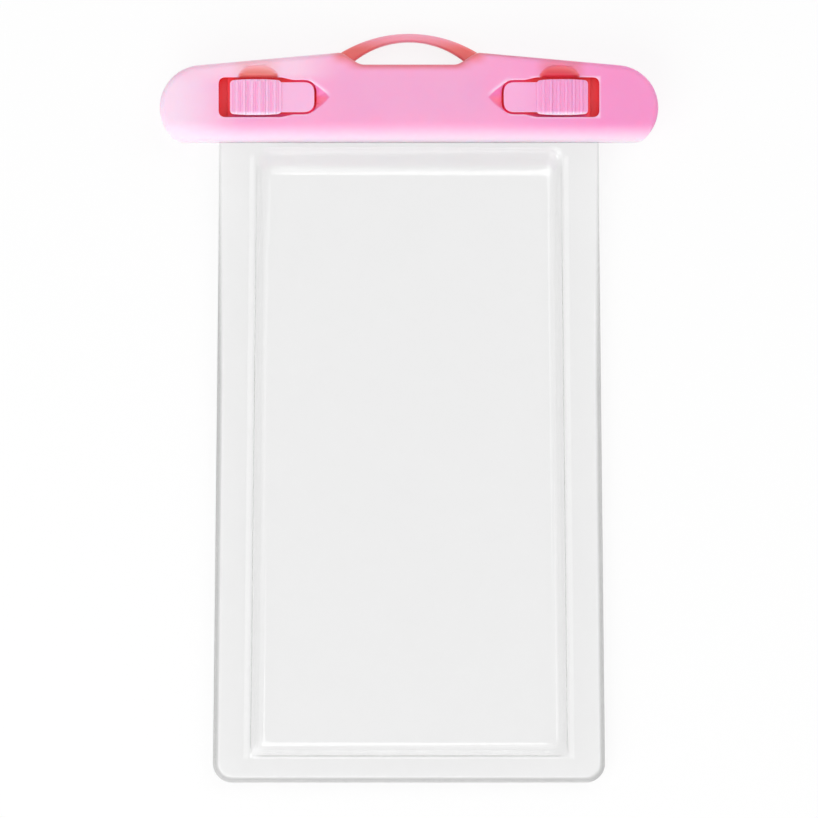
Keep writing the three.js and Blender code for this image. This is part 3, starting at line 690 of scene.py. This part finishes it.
SLOT_GLOW = (0.11, [("z", -0.5, -1.2), ("side", 29, 34), *SLOT_WALL_SHADE[1][1:]])
NECK_GLOW = (0.1, [("z", -0.5, -1.2), ("side", 34, 29), *SLOT_WALL_SHADE[1][1:]])
SCOOP_GLOW = (0.07, [("z", -0.2, -1.2), *SCOOP_LOW_SHADE[1][1:]])

front_plastic = moulded("moulded polypropylene, front bar", PINK, [
    SHADED_TOP_EDGE, LIT_TOP_EDGE, LIT_END, SHADED_RIGHT_END, LIT_TOP, THIN_AND_LIT_EDGE, LEFT_THUMB_SHADE_HALO, RIGHT_THUMB_SHADE_HALO,
    LOOP_FEET_SHADE, DIP_EDGE_SHADE, SLOT_EDGE_HIGHLIGHT, NECK_EDGE_HIGHLIGHT, SCOOP_EDGE_HIGHLIGHT, SLOT_WALL_SHADE, NECK_WALL_SHADE, LOWER_WALL_SHADE, THUMB_HOLLOW_SHADE,
    THUMB_SHADE, SCOOP_HIGH_SHADE, SCOOP_LOW_SHADE,
], [SLOT_GLOW, NECK_GLOW, SCOOP_GLOW])
rear_plastic = moulded("moulded polypropylene, rear bar", PINK,
                       [LIT_END, SHADED_RIGHT_END, THIN_AND_LIT_EDGE, LOOP_ROOT_SHADE, LOOP_TOP])
wear(front_moulding, front_plastic)
wear(rear_moulding, rear_plastic)

# %% [markdown]
# The latches are moulded a little paler than the clamp. Their sunk sides and flanges and the keeper plates
# lie inside the hollow bar, so they are painted deep red and magenta as painted shade, and the sunk sides
# carry the weak red glow.

# %% Tints of the latches
PALE_PINK = "#FBBEE1"
# Painted shade deepens the right pad, the rib valleys and the sunk sides, and a painted highlight pales the
# pads' lower edges.
SHADED_RIGHT_PAD = ("#F5A4D4", [("x", 4, 50)])
PAD_EDGE_HIGHLIGHT = ("#FFE0F4", [("rise", 3.3, 4.1), ("y", 10, 8)])
RIB_VALLEY_SHADE = ("#F4A4D4", [("rib", 0.3, 0.04), ("side", 31.9, 32.3), ("side", 43.9, 43.5), ("rise", 4.0, 3.5)])
SUNK_SHADE = (PAINTED_SHADE_RED, [("z", -0.4, -0.8)])
NECK_SUNK_SHADE = (PAINTED_SHADE_MAGENTA, [("side", 31, 27), *SUNK_SHADE[1]])
LOWER_SUNK_SHADE = ("#F458A4", [("y", 7.2, 6.4), ("side", 45, 43), *SUNK_SHADE[1]])
SUNK_GLOW = (0.1, [("z", -0.5, -0.9), ("side", 32, 29)])

latch_plastic = moulded("moulded polypropylene, latch", PALE_PINK, [
    SHADED_RIGHT_PAD, RIB_VALLEY_SHADE, PAD_EDGE_HIGHLIGHT, SUNK_SHADE, NECK_SUNK_SHADE, LOWER_SUNK_SHADE,
], [SUNK_GLOW])
# The keeper plates are the clamp's pink plastic, painted deep red as painted shade inside the bar.
shaded_keeper_plastic = moulded("moulded polypropylene, keeper plate, painted shade", PAINTED_SHADE_RED, [])
for slider in sliders:
    wear(slider, latch_plastic)
for side in ("left", "right"):
    wear(frame["nodes"][f"{side}_latch_keeper"], shaded_keeper_plastic)

# %% [markdown]
# ## The seal
# A soft silicone cord lies in the rear bar's groove and shuts the bag's mouth. It is extruded, translucent
# white and matt, with a bloom of dust. The dust is finer than can be seen, so its noise is drawn half a
# millimetre across.

# %% Extruded silicone
DUST = 0.5 * MM

silicone, tree = new_material("extruded silicone")
texture = add_node(tree, "ShaderNodeTexCoord")
dust = add_node(tree, "ShaderNodeTexNoise", {"Vector": texture.outputs["Object"], "Scale": 1 / DUST})
shade = add_node(tree, "ShaderNodeMix", {0: dust.outputs[0], 6: linear("#DEDAD6"), 7: linear("#F2F0EE")},
                 data_type="RGBA")
cord = add_node(tree, "ShaderNodeBsdfPrincipled",
                {"Base Color": shade.outputs[2], "Roughness": 0.6, "IOR": 1.41, "Subsurface Weight": 0.2,
                 "Subsurface Scale": 1 * MM})
finish_material(tree, cord)
wear(frame["nodes"]["seal_cord"], silicone)
